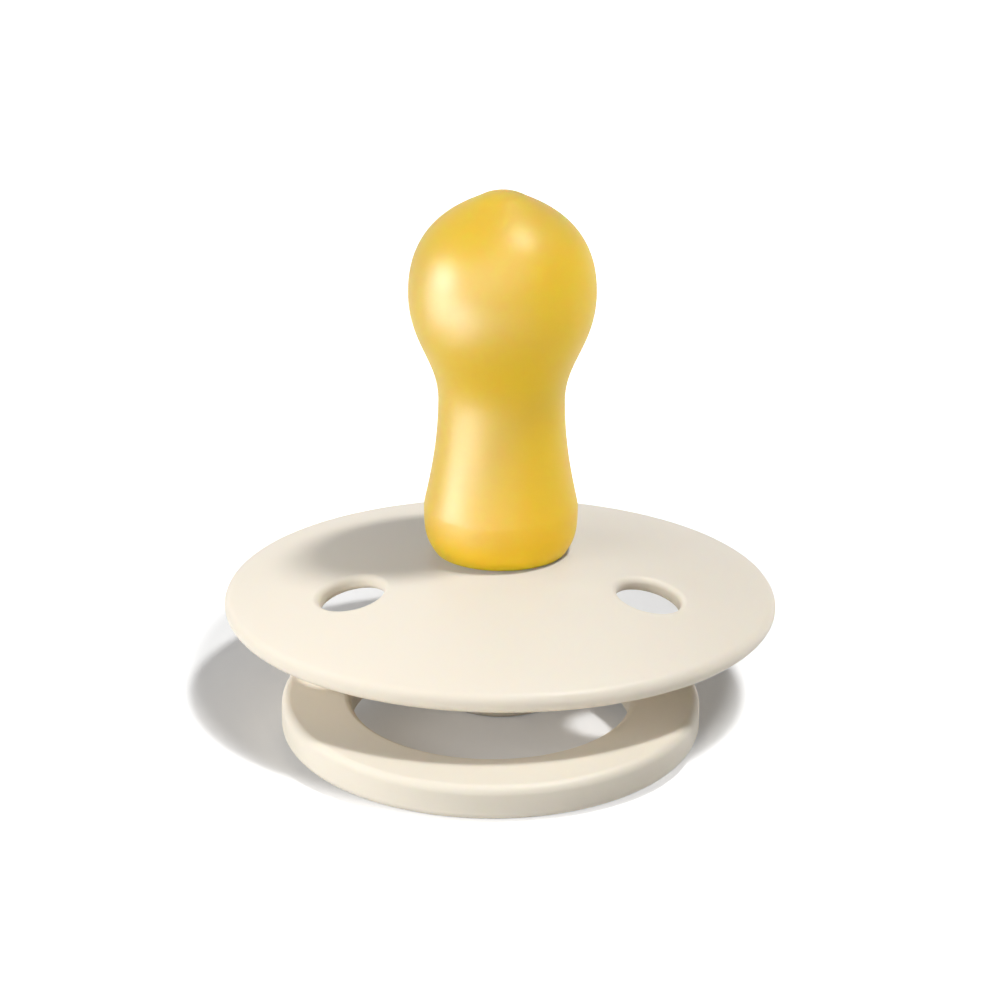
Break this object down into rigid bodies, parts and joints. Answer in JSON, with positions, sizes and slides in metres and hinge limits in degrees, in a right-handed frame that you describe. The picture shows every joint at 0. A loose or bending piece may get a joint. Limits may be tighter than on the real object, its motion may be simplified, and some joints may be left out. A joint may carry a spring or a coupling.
{
  "type": "pacifier",
  "caption": "Baby pacifier with a soft hollow rubber nipple, a round domed shield with air vents, a rear knob and a ring handle that swings on it.",
  "frame": {"origin": "centre of the knob's flat end, on which the pacifier stands", "axes": "+Z along the nipple, away from the knob; -Y towards the free side of the folded ring and the vents; +X along the ring's bar"},
  "size_m": [0.043, 0.0465, 0.0416],
  "materials": {
    "latex": "translucent satin",
    "shield_plastic": "satin",
    "plug_plastic": "satin",
    "knob_plastic": "satin",
    "ring_plastic": "satin"
  },
  "bodies": {
    "soother": {"shield": "shield_plastic", "nipple": "latex", "plug": "plug_plastic", "knob": "knob_plastic"},
    "handle": {"ring": "ring_plastic"}
  },
  "joints": [
    {"name": "ring_swing", "type": "hinge", "parent": "soother", "child": "handle", "pos_m": [0, 0, 0.00315], "axis": [1, 0, 0], "range_deg": [-9, 181]}
  ]
}
